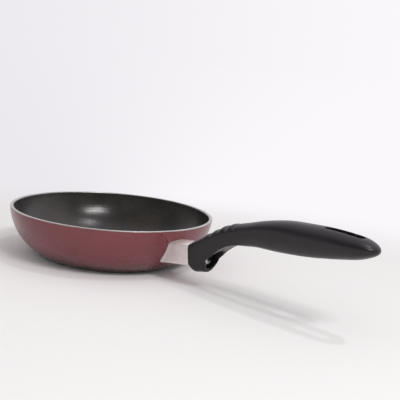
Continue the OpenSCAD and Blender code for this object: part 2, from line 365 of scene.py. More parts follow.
@dataclass(frozen=True)
class NonstickCoat:
    """Sprayed non-stick coating: dark, satin, with fine grit and faint turning rings."""

    name: str = "nonstick_coating"
    colour: Colour = paint(38, 36, 36)
    pale: Colour = paint(52, 48, 44)
    grit: Colour = paint(120, 115, 110)
    grit_share: float = 0.35
    roughness: float = 0.235
    ring_pitch: float = 1.1 * MM
    ring_depth: float = 0.012 * MM
    grain: float = 0.05 * MM
    cloud: float = 35
    haze: float = 55
    grains: float = 1500
    specks: float = 2200

    def make(self) -> Material:
        """Build the material.

        Returns:
            The material.
        """
        material, bench, place = canvas(self.name)
        x, y, _ = bench.split(place)
        cloudy = bench.noise(place, self.cloud, 3)
        body = bench.blend(cloudy.step(0.35, 0.7), self.colour, self.pale)
        speck = bench.noise(place, self.specks, 1).step(0.66, 0.74) * self.grit_share
        colour = bench.blend(speck, body, self.grit)
        rings = ringed(from_axis(x, y), self.ring_pitch)
        relief = bench.noise(place, self.grains, 2) + rings * (self.ring_depth / self.grain)
        rough = bench.uneven(place, self.haze, self.roughness, -0.04, 0.05)
        surface(bench, Base_Color=colour, Roughness=rough, Normal=bench.relief(relief, self.grain))
        return material


@dataclass(frozen=True)
class TurnedAluminium:
    """Bare aluminium off the lathe: fine rings about the bowl's axis, slightly dulled."""

    name: str = "turned_aluminium"
    colour: Colour = paint(196, 193, 191)
    dull: Colour = paint(178, 174, 171)
    # Painted shade: a dark colour for the base and foot, below the two heights that follow.
    painted_floor_shade: Colour = paint(92, 84, 80)
    floor_shade_from: float = 0.8 * MM
    floor_shade_to: float = 3 * MM
    roughness: float = 0.38
    ring_pitch: float = 0.45 * MM
    ring_depth: float = 0.012 * MM
    cloud: float = 60

    def make(self) -> Material:
        """Build the material.

        Returns:
            The material.
        """
        material, bench, place = canvas(self.name)
        x, y, height = bench.split(place)
        stain = bench.noise(place, self.cloud, 4, 0.6)
        colour = bench.blend(stain.step(0.4, 0.75), self.colour, self.dull)
        # Painted shade: the aluminium turns dark towards the floor, where the base meets it.
        painted_floor_shade = height.step(self.floor_shade_from, self.floor_shade_to)
        colour = bench.blend(painted_floor_shade, self.painted_floor_shade, colour)
        rings = ringed(from_axis(x, y), self.ring_pitch)
        rough = stain.step(0.35, 0.75, self.roughness - 0.05, self.roughness + 0.12)
        surface(bench, Base_Color=colour, Metallic=1.0, Roughness=rough,
                Normal=bench.relief(rings, self.ring_depth))
        return material


@dataclass(frozen=True)
class DrawnSheet:
    """Aluminium sheet drawn into a sleeve: satin, with fine lines along X and a warm tone."""

    name: str = "sleeve_aluminium"
    colour: Colour = paint(240, 232, 231)
    dull: Colour = paint(226, 217, 215)
    metallic: float = 0.6
    roughness: float = 0.36
    line_depth: float = 0.01 * MM
    cloud: float = 90
    lines: float = 1800
    drawn: Point = (0.06, 1.0, 1.0)

    def make(self) -> Material:
        """Build the material.

        Returns:
            The material.
        """
        material, bench, place = canvas(self.name)
        lines = bench.noise(bench.stretched(place, self.drawn), self.lines, 3, 0.6)
        cloud = bench.noise(place, self.cloud, 3)
        shade = (cloud * 0.6 + lines * 0.4).step(0.35, 0.65)
        colour = bench.blend(shade, self.colour, self.dull)
        rough = lines.step(0.3, 0.7, self.roughness - 0.04, self.roughness + 0.06)
        surface(bench, Base_Color=colour, Metallic=self.metallic, Roughness=rough,
                Normal=bench.relief(lines, self.line_depth))
        return material


@dataclass(frozen=True)
class MouldedPhenolic:
    """Moulded dark plastic: satin, finely grained, a little paler where hands have rubbed it."""

    name: str = "moulded_phenolic"
    colour: Colour = paint(25, 23, 26)
    pale: Colour = paint(31, 28, 31)
    rubbed: Colour = paint(60, 57, 61)
    roughness: float = 0.37
    rubbed_share: float = 0.25
    gloss: float = 0.38
    grain: float = 0.02 * MM
    cloud: float = 45
    grains: float = 1300
    specks: float = 2800
    flow: Point = (0.35, 1.0, 1.0)

    def make(self) -> Material:
        """Build the material.

        Returns:
            The material.
        """
        material, bench, place = canvas(self.name)
        cloudy = bench.noise(bench.stretched(place, self.flow), self.cloud, 4, 0.6)
        body = bench.blend(cloudy.step(0.35, 0.7), self.colour, self.pale)
        speck = bench.noise(place, self.specks, 1).step(0.64, 0.72) * self.rubbed_share
        colour = bench.blend(speck, body, self.rubbed)
        fine = bench.noise(place, self.grains, 3, 0.6)
        rough = cloudy.step(0.3, 0.75, self.roughness - 0.05, self.roughness + 0.06)
        surface(bench, Base_Color=colour, Roughness=rough, Specular_IOR_Level=self.gloss,
                Normal=bench.relief(fine, self.grain))
        return material


@dataclass(frozen=True)
class PlatedSteel:
    """Bright plated steel of the screw and its washers, with faint tool marks."""

    name: str = "plated_steel"
    colour: Colour = paint(205, 205, 207)
    dull: Colour = paint(160, 159, 160)
    roughness: float = 0.24
    mark_depth: float = 0.008 * MM
    cloud: float = 260
    marks: float = 900
    tooled: Point = (3.0, 1.0, 1.0)
    # Painted shade: a dark colour for the screw head's face, as if shaded inside the handle's
    # pocket.
    pocket_shade: Colour = paint(66, 62, 61)
    pocket_shade_at: Point | None = None
    axis: Point = (1.0, 0.0, 0.0)
    unshaded_from: float = 2.2 * MM
    unshaded_to: float = 3.4 * MM
    pocket_shade_run: float = 0.2 * MM

    def pocket_shaded(self, bench: Bench, place: Value) -> Value:
        """Share of painted shade on a head's face, which its bright edge is free of.

        Args:
            bench: The material's bench.
            place: The place on the piece.

        Returns:
            The share.
        """
        x, y, z = bench.split(place)
        x, z = x - self.pocket_shade_at[0], z - self.pocket_shade_at[2]
        along = x * self.axis[0] + z * self.axis[2]
        out = (x * x + y * y + z * z - along * along) ** 0.5
        inner = 1 - out.step(self.unshaded_from, self.unshaded_to)
        return inner * along.step(0.0, self.pocket_shade_run)

    def make(self) -> Material:
        """Build the material.

        Returns:
            The material.
        """
        material, bench, place = canvas(self.name)
        marks = bench.noise(bench.stretched(place, self.tooled), self.marks, 3, 0.6)
        cloud = bench.noise(place, self.cloud, 3)
        colour = bench.blend(cloud.step(0.4, 0.7), self.colour, self.dull)
        # Painted shade: the head's face is darkened and its rim left bright.
        if self.pocket_shade_at:
            colour = bench.blend(self.pocket_shaded(bench, place), colour, self.pocket_shade)
        rough = marks.step(0.3, 0.7, self.roughness - 0.04, self.roughness + 0.1)
        surface(bench, Base_Color=colour, Metallic=1.0, Roughness=rough,
                Normal=bench.relief(marks, self.mark_depth))
        return material


@dataclass(frozen=True)
class CastStub:
    """Plain aluminium of the lug inside the sleeve, as it comes from the die."""

    name: str = "cast_aluminium"
    colour: Colour = paint(178, 177, 176)
    dark: Colour = paint(138, 136, 135)
    metallic: float = 0.9
    roughness: float = 0.5
    grain: float = 0.06 * MM
    cloud: float = 700

    def make(self) -> Material:
        """Build the material.

        Returns:
            The material.
        """
        material, bench, place = canvas(self.name)
        skin = bench.noise(place, self.cloud, 4, 0.65)
        colour = bench.blend(skin.step(0.35, 0.7), self.colour, self.dark)
        rough = skin.step(0.3, 0.7, self.roughness - 0.05, self.roughness + 0.08)
        surface(bench, Base_Color=colour, Metallic=self.metallic, Roughness=rough,
                Normal=bench.relief(skin, self.grain))
        return material


# Meshes


class Corner(Enum):
    """How far two faces may turn before the edge between them shows as a crisp one."""

    SOFT = 60.0
    CRISP = 32.0


class Boolean(Enum):
    """What a tool does to the object that it meets."""

    CUT = "DIFFERENCE"
    JOIN = "UNION"


def link(name: str, mesh: bpy.types.Mesh) -> Thing:
    """New object at the origin with this mesh, in the scene.

    Args:
        name: The object's name.
        mesh: Its mesh.

    Returns:
        The object.
    """
    thing = bpy.data.objects.new(name, mesh)
    bpy.context.scene.collection.objects.link(thing)
    return thing


def shell(name: str, points: list[Point], faces: Faces) -> Thing:
    """New object with a closed mesh whose faces point outwards.

    Args:
        name: The object's name.
        points: The mesh's points.
        faces: The points of each face.

    Returns:
        The object.
    """
    mesh = bpy.data.meshes.new(name)
    mesh.from_pydata(points, [], faces)
    thing = link(name, mesh)
    weld(thing)
    return thing


def weld(thing: Thing, reach: float = 1e-6) -> None:
    """Merge doubled points and turn all faces outwards.

    Args:
        thing: The object.
        reach: How far apart doubled points may be.
    """
    work = bmesh.new()
    work.from_mesh(thing.data)
    bmesh.ops.remove_doubles(work, verts=work.verts, dist=reach)
    bmesh.ops.dissolve_degenerate(work, edges=work.edges, dist=reach)
    bmesh.ops.recalc_face_normals(work, faces=work.faces)
    work.to_mesh(thing.data)
    work.free()


def settle(thing: Thing) -> None:
    """Turn what the modifiers make of an object into its plain mesh.

    Args:
        thing: The object, which keeps no modifier.
    """
    graph = bpy.context.evaluated_depsgraph_get()
    mesh = bpy.data.meshes.new_from_object(thing.evaluated_get(graph), depsgraph=graph)
    thing.modifiers.clear()
    thing.data = mesh


def dress(thing: Thing, material: Material, corner: Corner) -> None:
    """Give an object one material and its shading.

    Args:
        thing: The object.
        material: Its material.
        corner: Which edges stay crisp.
    """
    thing.data.materials.clear()
    thing.data.materials.append(material)
    thing.data.shade_smooth()
    thing.data.set_sharp_from_angle(angle=math.radians(corner.value))


def carve(thing: Thing, tool: Thing, what: Boolean = Boolean.CUT) -> None:
    """Cut a tool's shape out of an object, or join it on, and throw the tool away.

    Args:
        thing: The object.
        tool: The tool.
        what: Whether it cuts or joins.
    """
    modifier = thing.modifiers.new("carve", "BOOLEAN")
    modifier.operation = what.value
    modifier.solver = "EXACT"
    modifier.object = tool
    settle(thing)
    bpy.data.objects.remove(tool)


def skin(rings: list[list[Point]], capped: bool = True) -> tuple[list[Point], Faces]:
    """Skin over closed rings of equal length.

    Args:
        rings: The rings in order.
        capped: Whether a face closes the first ring, and one the last.

    Returns:
        The points and the faces.
    """
    n = len(rings[0])
    points = [p for ring in rings for p in ring]
    faces: Faces = []
    for i in range(len(rings) - 1):
        for k in range(n):
            a, b = i * n + k, i * n + (k + 1) % n
            faces.append((a, a + n, b + n, b))
    if capped:
        faces.append(tuple(range(n)))
        faces.append(tuple(range(len(points) - 1, len(points) - n - 1, -1)))
    return points, faces


def lofted(name: str, rings: list[list[Point]]) -> Thing:
    """New object with a solid through closed rings."""
    return shell(name, *skin(rings))


def bent(start: Flat, corner: Flat, end: Flat, steps: int) -> Outline:
    """Round off a corner.

    Args:
        start: Where the bend begins. It isn't among the points.
        corner: The corner that the bend cuts.
        end: Where the bend ends, which is the last point.
        steps: How many points there are.

    Returns:
        The points.
    """
    shares = [i / steps for i in range(1, steps + 1)]
    return [tuple(mix(mix(a, b, t), mix(b, c, t), t) for a, b, c in zip(start, corner, end))
            for t in shares]


def circle(radius: float, steps: int) -> Outline:
    """Points round a circle about the origin, the first one on its first axis."""
    angles = [2 * math.pi * k / steps for k in range(steps)]
    return [(radius * math.cos(a), radius * math.sin(a)) for a in angles]


def arc(centre: Flat, radius: float, start: float, end: float, steps: int) -> Outline:
    """Points on an arc, from one angle in degrees to another."""
    angles = [math.radians(mix(start, end, i / steps)) for i in range(steps + 1)]
    return [(centre[0] + radius * math.cos(a), centre[1] + radius * math.sin(a)) for a in angles]


# Trees of Geometry Nodes


class Rig:
    """A tree of Geometry Nodes with named inputs, used as a modifier."""

    def __init__(self, name: str, sizes: dict[str, float | int]) -> None:
        """Start a tree.

        Args:
            name: The tree's name.
            sizes: Its inputs and their values. A whole number makes a whole-number input.
        """
        self.tree = bpy.data.node_groups.new(name, "GeometryNodeTree")
        self.sizes = sizes
        face = self.tree.interface
        face.new_socket("Geometry", in_out="INPUT", socket_type="NodeSocketGeometry")
        for key, size in sizes.items():
            kind = "NodeSocketInt" if isinstance(size, int) else "NodeSocketFloat"
            face.new_socket(key, in_out="INPUT", socket_type=kind)
        face.new_socket("Geometry", in_out="OUTPUT", socket_type="NodeSocketGeometry")
        self.bench = Bench(self.tree)
        self.entry = self.tree.nodes.new("NodeGroupInput")

    def given(self, key: str) -> Value:
        """One of the tree's inputs."""
        return Value(self.bench, self.entry.outputs[key])

    def close(self, geometry: Value, material: Material) -> None:
        """End the tree with plain geometry in one material.

        Args:
            geometry: What the tree has made.
            material: Its material.
        """
        real = self.bench.make("GeometryNodeRealizeInstances", {}, {"Geometry": geometry})
        done = self.bench.make("GeometryNodeSetMaterial", {},
                               {"Geometry": real, "Material": material})
        self.bench.make("NodeGroupOutput", {}, {"Geometry": done})

    def run(self, thing: Thing) -> None:
        """Put an object through the tree and keep the result as its plain mesh.

        Args:
            thing: The object.
        """
        modifier = thing.modifiers.new(self.tree.name, "NODES")
        modifier.node_group = self.tree
        for item in self.tree.interface.items_tree:
            if item.in_out == "INPUT" and item.name in self.sizes:
                modifier[item.identifier] = self.sizes[item.name]
        settle(thing)


def turned(name: str, half: Outline, material: Material, steps: int = 224,
           corner: Corner = Corner.CRISP) -> Thing:
    """Turn a half section about the Z axis, as on a lathe.

    Args:
        name: Name of the piece.
        half: Radius and height of each point of the section, in order.
        material: The piece's material.
        steps: Facets round the axis.
        corner: Which edges stay crisp.

    Returns:
        The turned piece.
    """
    section = bpy.data.meshes.new(name)
    section.from_pydata([(r, 0.0, z) for r, z in half], [], [])
    rig = Rig(name + "_lathe", {"Steps": steps, "Rows": len(half)})
    bench, rows = rig.bench, rig.given("Rows")
    grid = bench.make("GeometryNodeMeshGrid", {},
                      {"Vertices X": rig.given("Steps") + 1, "Vertices Y": rows})
    index = bench.make("GeometryNodeInputIndex")
    spoke = ((index + 0.5) / rows).floor()
    row = index - spoke * rows
    place = bench.make("GeometryNodeInputPosition")
    sample = bench.make("GeometryNodeSampleIndex", {"data_type": "FLOAT_VECTOR"},
                        {"Geometry": rig.given("Geometry"), "Value": place, "Index": row})
    radius, _, height = bench.split(sample)
    angle = spoke * (2 * math.pi) / rig.given("Steps")
    spun = bench.join(radius * angle.cosine(), radius * angle.sine(), height)
    wrapped = bench.make("GeometryNodeSetPosition", {}, {"Geometry": grid, "Position": spun})
    rig.close(wrapped, material)
    piece = link(name, section)
    rig.run(piece)
    weld(piece)
    dress(piece, material, corner)
    return piece


# The pan


@dataclass
class Bowl:
    """The aluminium bowl with its enamel outside and its lining inside."""

    rim_r: float
    height: float
    base_r: float = 57 * MM
    arc_r: float = 49.7 * MM
    wall_t: float = 2.6 * MM
    floor_t: float = 3.0 * MM
    enamel: float = 0.2 * MM
    lining: float = 0.2 * MM
    rim_round: float = 0.4 * MM
    bare_rim: float = 0.5 * MM
    bare_foot: float = 0.6 * MM
    corner_run: float = 3.2 * MM
    groove_first: float = 14 * MM
    groove_pitch: float = 4 * MM
    groove_width: float = 1.2 * MM
    groove_depth: float = 0.35 * MM
    groove_land: float = 9 * MM
    corner_lift: float = 0.37
    outer_steps: int = 72
    coat_steps: tuple[int, int] = (96, 40)
    inner_steps: int = 56
    corner_steps: int = 8
    floor_steps: int = 12
    rim_steps: int = 5

    def __post_init__(self) -> None:
        """Work out the centre of the wall's arc from the rim, the base and the height."""
        run, rise = self.rim_r - self.base_r, self.height
        chord = math.hypot(run, rise)
        off = math.sqrt(self.arc_r**2 - chord**2 / 4)
        self.arc_x = (self.rim_r + self.base_r) / 2 - off * rise / chord
        self.arc_z = rise / 2 + off * run / chord

    def wall_at(self, z: float, inset: float = 0.0) -> float:
        """Radius of the bowl's outline, drawn in by inset, at a height."""
        return self.arc_x + math.sqrt((self.arc_r - inset) ** 2 - (self.arc_z - z) ** 2)

    def side(self, inset: float, low: float, high: float, steps: int) -> Outline:
        """Points up the wall, drawn in by inset, between two heights.

        Args:
            inset: How far the wall is drawn in.
            low: Height of the first point.
            high: Height of the last point.
            steps: How many steps the points are apart.

        Returns:
            Radius and height of each point.
        """
        r = self.arc_r - inset
        start = math.degrees(math.asin((low - self.arc_z) / r))
        end = math.degrees(math.asin((high - self.arc_z) / r))
        return arc((self.arc_x, self.arc_z), r, start, end, steps)

    def groove_steps(self) -> Outline:
        """Points along the underside, from the axis out, with its turned grooves.

        Returns:
            Radius and height of each point.
        """
        points = [(0.0, 0.0)]
        x = self.groove_first
        wide, deep = self.groove_width, self.groove_depth
        while x + wide <= self.base_r - self.groove_land:
            soft = deep / 2
            points += [(x, 0.0), (x + soft, deep), (x + wide - soft, deep), (x + wide, 0.0)]
            x += self.groove_pitch
        return points

    def inside(self, inset: float, floor: float, high: float) -> Outline:
        """Points down the wall's inner face, round the soft corner and in to the axis.

        Args:
            inset: How far the face is drawn in from the bowl's outline.
            floor: Height of the face on the floor.
            high: Height of the first point.

        Returns:
            Radius and height of each point.
        """
        r = self.arc_r - inset
        corner = (self.arc_x + math.sqrt(r**2 - (self.arc_z - floor) ** 2), floor)
        lift = self.corner_run * self.corner_lift
        wall = self.side(inset, floor + lift, high, self.inner_steps)[::-1]
        end = (corner[0] - self.corner_run, floor)
        bend = bent(wall[-1], corner, end, self.corner_steps)[:-1]
        n = self.floor_steps
        return [*wall, *bend, *((end[0] * (1 - i / n), floor) for i in range(n + 1))]

    def body_half(self) -> Outline:
        """Half section of the aluminium.

        Returns:
            Radius and height of each point.
        """
        inset, r = self.enamel, self.rim_round
        outer = self.side(inset, 0.0, self.height - r, self.outer_steps)
        edge = self.wall_at(self.height, inset)
        inner = self.wall_at(self.height, inset + self.wall_t)
        rim = [*arc((edge - r, self.height - r), r, 20, 90, self.rim_steps),
               *arc((inner + r, self.height - r), r, 90, 160, self.rim_steps)]
        lined = self.inside(inset + self.wall_t, self.floor_t, self.height - r)
        return [*self.groove_steps(), *outer, *rim, *lined]

    def coat_half(self) -> Outline:
        """Half section of the enamel, a thin closed skin with round edges.

        Returns:
            Radius and height of each point.
        """
        low, high, t = self.bare_foot, self.height - self.bare_rim, self.enamel
        outer = self.side(0.0, low + t / 2, high - t / 2, self.coat_steps[0])
        lip = (self.wall_at(high, t / 2), high)
        inner = self.side(t, low + t / 4, high - t / 4, self.coat_steps[1])[::-1]
        foot = (self.wall_at(low, t / 2), low)
        return [*outer, lip, *inner, foot, outer[0]]

    def lining_half(self) -> Outline:
        """Half section of the lining, a thin closed skin from the rim to the axis.

        Returns:
            Radius and height of each point.
        """
        inset, t = self.enamel + self.wall_t, self.lining
        high = self.height - self.rim_round
        upper = self.inside(inset + t, self.floor_t + t, high - t / 2)
        lip = (self.wall_at(high, inset + t / 2), high)
        lower = self.inside(inset, self.floor_t, high - t / 4)
        return [*upper[::-1], lip, *lower]

    def build(self) -> Made:
        """Turn the three layers.

        Returns:
            Each piece with the node that it replaces and its material slot.
        """
        body = turned("turned_body", self.body_half(), TurnedAluminium().make())
        coat = turned("enamel_coat", self.coat_half(), Enamel().make(), corner=Corner.SOFT)
        lining = turned("nonstick_lining_coat", self.lining_half(), NonstickCoat().make(),
                        corner=Corner.SOFT)
        return [(body, "pan_body", "bare_aluminium"), (coat, "outer_enamel", "maroon_enamel"),
                (lining, "nonstick_lining", "nonstick")]


@dataclass
class ScrewLine:
    """The axis on which the sleeve, the handle and the screw are strung."""

    bowl: Bowl
    wall_z: float = 20.8 * MM
    tilt: float = math.radians(8)
    length: float = 28 * MM

    def __post_init__(self) -> None:
        """Work out where the axis crosses the handle's front face."""
        self.face_x = self.bowl.wall_at(self.wall_z) + self.length * math.cos(self.tilt)
        self.face_z = self.wall_z + self.length * math.sin(self.tilt)

    def at(self, along: float, across: float, up: float) -> Point:
        """Point in the pan's frame, counted along the axis from the handle's front face."""
        c, s = math.cos(self.tilt), math.sin(self.tilt)
        return (self.face_x + along * c - up * s, across, self.face_z + along * s + up * c)

    def stand(self, thing: Thing, along: float) -> None:
        """Lay a piece that was turned about Z onto the axis, its foot at a place along it."""
        lay = Matrix.Rotation(math.pi / 2 - self.tilt, 4, "Y")
        thing.data.transform(Matrix.Translation(self.at(along, 0, 0)) @ lay)

    def bar(self, start: float, end: float, diameter: float, sides: int = 64) -> Thing:
        """Round bar along the axis."""
        loop = circle(diameter / 2, sides)
        return lofted("bar", [[self.at(u, y, v) for y, v in loop] for u in (start, end)])


@dataclass
class Sleeve:
    """The drawn aluminium sleeve between bowl and handle."""

    line: ScrewLine
    width: float = 23.5 * MM
    side_h: float = 17 * MM
    low: float = 6 * MM
    crown: float = 1.8 * MM
    wall_t: float = 1.4 * MM
    corner_r: float = 2.2 * MM
    corner_thin: float = 0.75
    crease_share: float = 0.5
    crease_drop: float = 0.9
    low_round: float = 2.6 * MM
    low_clear: float = 1.5 * MM
    gap: float = 0.15 * MM
    flare: float = 0.3 * MM
    flare_run: float = 3.2 * MM
    edge_round: float = 0.25 * MM
    edge_turn: float = 50.0
    edge_steps: int = 3
    side_steps: int = 8
    floor_steps: int = 14
    crown_steps: int = 12
    shares: tuple[float, ...] = (0.0, 0.03, 0.06, 0.1, 0.14, 0.2, 0.3, 0.45, 0.6, 0.75, 0.9, 1.0)

    def top(self) -> float:
        """Height of the crown's middle over the screw's axis."""
        return self.side_h - self.low + self.crown

    def crown_at(self, y: float, inset: float) -> float:
        """Height of the crowned top over the axis, drawn in by inset."""
        r = (self.width**2 / 4 + self.crown**2) / (2 * self.crown)
        return self.top() - r + math.sqrt(max((r - inset) ** 2 - y * y, 0.0))

    def outline(self, inset: float) -> Outline:
        """Closed outline across the axis: flat sides, a crowned top and round corners.

        Args:
            inset: How far the outline is drawn in.

        Returns:
            Place across and height over the axis of each point.
        """
        half, low = self.width / 2 - inset, inset - self.low
        r = self.corner_r - inset * self.corner_thin
        crease = r * self.crease_share
        shoulder = self.crown_at(half, inset) - crease * self.crease_drop
        n, wide, high = self.side_steps, self.floor_steps, self.crown_steps
        floor = [(mix(-half + r, half - r, i / wide), low) for i in range(wide + 1)]
        right = arc((half - r, low + r), r, -90, 0, n)[1:]
        wall = [(half, mix(low + r, shoulder, i / n)) for i in range(1, n + 1)]
        end = (half - crease, self.crown_at(half - crease, inset))
        bend = bent(wall[-1], (half, self.crown_at(half, inset)), end, n)
        crown = [(y, self.crown_at(y, inset))
                 for y in (mix(half - crease, 0.0, i / high) for i in range(1, high + 1))]
        one_side = [*right, *wall, *bend, *crown]
        other = [(-y, v) for y, v in one_side[:-1]][::-1]
        return [*floor, *one_side, *other[:-1]]

    def wall_reach(self, y: float, v: float) -> float:
        """Place along the axis where a line of the sleeve meets the enamel, less the gap.

        Args:
            y: The line's place across.
            v: Its height over the axis.

        Returns:
            The place, counted from the handle's front face.
        """
        low, high = -self.line.length * 1.6, 0.0
        for _ in range(40):
            middle = (low + high) / 2
            x, side, z = self.line.at(middle, y, v)
            inside = math.hypot(x, side) < self.line.bowl.wall_at(z) + self.gap
            low, high = (middle, high) if inside else (low, middle)
        return high

    def early(self, v: float) -> float:
        """How much sooner the sleeve ends before the bowl, towards its lower edge."""
        t = (self.low_round - self.low - v) / self.low_round
        return self.low_clear * min(max(t, 0.0), 1.0) ** 2

    def ring(self, inset: float, share: float) -> list[Point]:
        """Ring of the sleeve's wall at a share of the way from the bowl to the handle.

        Args:
            inset: How far the ring is drawn in.
            share: From 0 at the bowl to 1 at the handle.

        Returns:
            The ring's points.
        """
        points = []
        for y, v in self.outline(inset):
            start = self.wall_reach(y, v) + self.early(v)
            along = start * (1 - share)
            spread = self.flare * math.exp(-(((along - start) / self.flare_run) ** 2) * 3)
            grow = 1 + spread / (self.width / 2)
            points.append(self.line.at(along, y * grow, v * grow))
        return points

    def build(self) -> Made:
        """Draw the sleeve as one closed wall with broken edges.

        Returns:
            The piece with the node that it replaces and its material slot.
        """
        outer = [self.ring(0.0, s) for s in self.shares]
        inner = [self.ring(self.wall_t, s) for s in self.shares[::-1]]
        sleeve = shell("guard_sleeve", *skin([*outer, *inner, outer[0]], capped=False))
        rounder = sleeve.modifiers.new("broken_edges", "BEVEL")
        rounder.width = self.edge_round
        rounder.segments = self.edge_steps
        rounder.limit_method = "ANGLE"
        rounder.angle_limit = math.radians(self.edge_turn)
        settle(sleeve)
        dress(sleeve, DrawnSheet().make(), Corner.CRISP)
        return [(sleeve, "flame_guard", "guard_metal")]


@dataclass
class Grip:
    """The moulded handle with its ribs, slot, dish, scoop and screw pocket."""

    line: ScrewLine
    sleeve: Sleeve
    length: float
    rise: float = 51.5 * MM
    lobe_h: float = 32.3 * MM
    neck_h: float = 20.8 * MM
    grip_h: float = 25.3 * MM
    nose_h: float = 18 * MM
    nose_len: float = 19.5 * MM
    nose_drop: float = 8.8 * MM
    nose_lift: float = 0.07
    nose_slim: float = 0.12
    neck_w: float = 21.5 * MM
    grip_w: float = 26.8 * MM
    front_lip: float = 0.3 * MM
    scoop_r: float = 45 * MM
    scoop_at: float = 7.6
    scoop_bite: float = 0.3 * MM
    tongue_len: float = 7.5 * MM
    tongue_gap: float = 0.3 * MM
    tongue_root: float = 3 * MM
    seat_depth: float = 8 * MM
    pocket_d: float = 15.4 * MM
    pocket_share: float = 0.6
    bore_d: float = 5.6 * MM
    slot_len: float = 34 * MM
    slot_w: float = 8 * MM
    slot_wall: float = 13 * MM
    dish_depth: float = 0.7 * MM
    dish_r: float = 14 * MM
    rib_n: int = 4
    rib_pitch: float = 7.7 * MM
    rib_h: float = 1.6 * MM
    rib_sink: float = 1.0 * MM
    rib_start: float = 12.6 * MM
    rib_w: float = 26 * MM
    rib_rise: float = 0.3
    rib_fade: float = 0.12
    voxel: float = 0.5 * MM
    edge_soften: float = 0.5
    edge_passes: int = 5
    sides: int = 112
    station_steps: int = 12
    nose_steps: int = 24
    scoop_steps: int = 240
    slot_steps: int = 24
    dish_steps: int = 16
    dish_sides: int = 72

    def rows(self) -> list[Row]:
        """Side stations along the handle, from its front face to the start of its nose.

        The table gives, for each one after the first, the share of the length and of the rise at
        the top, the share of the length at the underside, the section's height and half width,
        the squareness of its upper and lower half, how much narrower its underside is, and how
        far its top falls off to the sides in millimetres.

        Returns:
            A row for each station: place and height of the top and of the underside, half width,
            the two squarenesses, the taper and the crown.
        """
        up, low, tilt = self.sleeve.top(), self.sleeve.low, self.line.tilt
        front, neck, full = self.sleeve.width / 2 + self.front_lip, self.neck_w / 2, self.grip_w / 2
        lobe, waist, grip, nose = self.lobe_h, self.neck_h, self.grip_h, self.nose_h
        end = 1 - self.nose_len / self.length
        table = [
            (0.020, 0.088, 0.027, mix(lobe, waist, 0.51), front, 8, 4, 0.05, 1.8),
            (0.050, 0.166, 0.048, mix(lobe, waist, 0.26), front, 7, 2.8, 0.15, 2.0),
            (0.085, 0.264, 0.074, lobe, front, 6.5, 2.5, 0.3, 2.2),
            (0.125, 0.372, 0.108, lobe, mix(front, neck, 0.3), 6, 2.5, 0.4, 2.4),
            (0.170, 0.490, 0.156, mix(lobe, waist, 0.22), mix(front, neck, 0.6), 5.5, 2.5, 0.33,
             2.5),
            (0.231, 0.597, 0.213, mix(lobe, waist, 0.70), mix(front, neck, 0.9), 5, 2.5, 0.15, 2.5),
            (0.307, 0.695, 0.280, mix(lobe, waist, 1), mix(front, neck, 1), 5, 2.5, 0.13, 2.5),
            (0.406, 0.823, 0.360, mix(waist, grip, 0.35), mix(neck, full, 0.25), 5, 2.4, 0.12, 2.6),
            (0.523, 0.930, 0.500, grip, mix(neck, full, 0.6), 4.4, 2.3, 0.1, 3.0),
            (0.652, 0.977, 0.645, mix(grip, nose, 0.07), mix(neck, full, 0.92), 3.6, 2.3, 0.1, 3.2),
            (0.780, 1.000, 0.780, mix(grip, nose, 0.43), mix(neck, full, 1), 3.0, 2.3, 0.1, 3.0),
            (end, 0.984, end, mix(grip, nose, 1), 0.97 * mix(neck, full, 1), 2.6, 2.3, 0.1, 2.2),
        ]
        rows = [(-up * math.sin(tilt), up * math.cos(tilt), low * math.sin(tilt),
                 -low * math.cos(tilt), front, 9, 7, 0, self.sleeve.crown)]
        for top, rise, under, depth, width, over_sq, under_sq, taper, crown in table:
            height = mix(up, self.rise, rise)
            rows.append((top * self.length, height, under * self.length, height - depth, width,
                         over_sq, under_sq, taper, crown * MM))
        return rows

    def __post_init__(self) -> None:
        """Keep the stations and the places that follow from them."""
        self.side_rows = self.rows()
        self.last = len(self.side_rows) - 1
        touch = self.spline(self.scoop_at)
        self.scoop_top = (touch[2], touch[3] + self.scoop_bite)
        self.slot_far = self.length - self.slot_wall - self.slot_w / 2
        self.slot_near = self.slot_far - self.slot_len + self.slot_w

    def spline(self, t: float) -> Row:
        """Row on the smooth curve through the stations, with t counting them.

        Args:
            t: Number of the station, with a share of the way to the next.

        Returns:
            The row.
        """
        i = min(int(t), self.last - 1)
        f = t - i
        a, b, c, d = (self.side_rows[min(max(i + k, 0), self.last)] for k in (-1, 0, 1, 2))
        return tuple((2 * q + (r - p) * f + (2 * p - 5 * q + 4 * r - s) * f**2
                      + (3 * q - p - 3 * r + s) * f**3) / 2 for p, q, r, s in zip(a, b, c, d))

    def nose(self, u: float) -> Row:
        """Row on the rounded end, with u from 0 to 1.

        Args:
            u: Share of the way along the end.

        Returns:
            The row.
        """
        s = self.side_rows[self.last]
        shrink = math.sqrt(max(1 - u * u, 0.0))
        middle, tip = (s[1] + s[3]) / 2, self.rise - self.nose_drop
        z = mix(middle + self.nose_lift * self.nose_len * u, tip, u * u)
        half = ((s[1] - s[3]) / 2 - self.nose_slim * self.nose_len * u) * shrink
        x = s[0] + self.nose_len * u
        return (x, z + half, x, z - half, s[4] * shrink, s[5], s[6], s[7], s[8] * shrink)

    def section(self, s: Row) -> list[Point]:
        """Closed section of the handle for a row.

        Args:
            s: The row.

        Returns:
            The section's points.
        """
        points = []
        for k in range(self.sides):
            a = 2 * math.pi * (k + 0.5) / self.sides
            sq = s[5] if math.sin(a) > 0 else s[6]
            r = (abs(math.cos(a)) ** sq + abs(math.sin(a)) ** sq) ** (-1 / sq)
            v, side = r * math.sin(a), r * math.cos(a)
            drop = s[8] * side * side * max(v, 0.0)
            t = (v + 1) / 2
            width = s[4] * side * (1 - s[7] * (1 - t))
            points.append((self.line.face_x + mix(s[2], s[0], t), width,
                           self.line.face_z + mix(s[3], s[1], t) - drop))
        return points

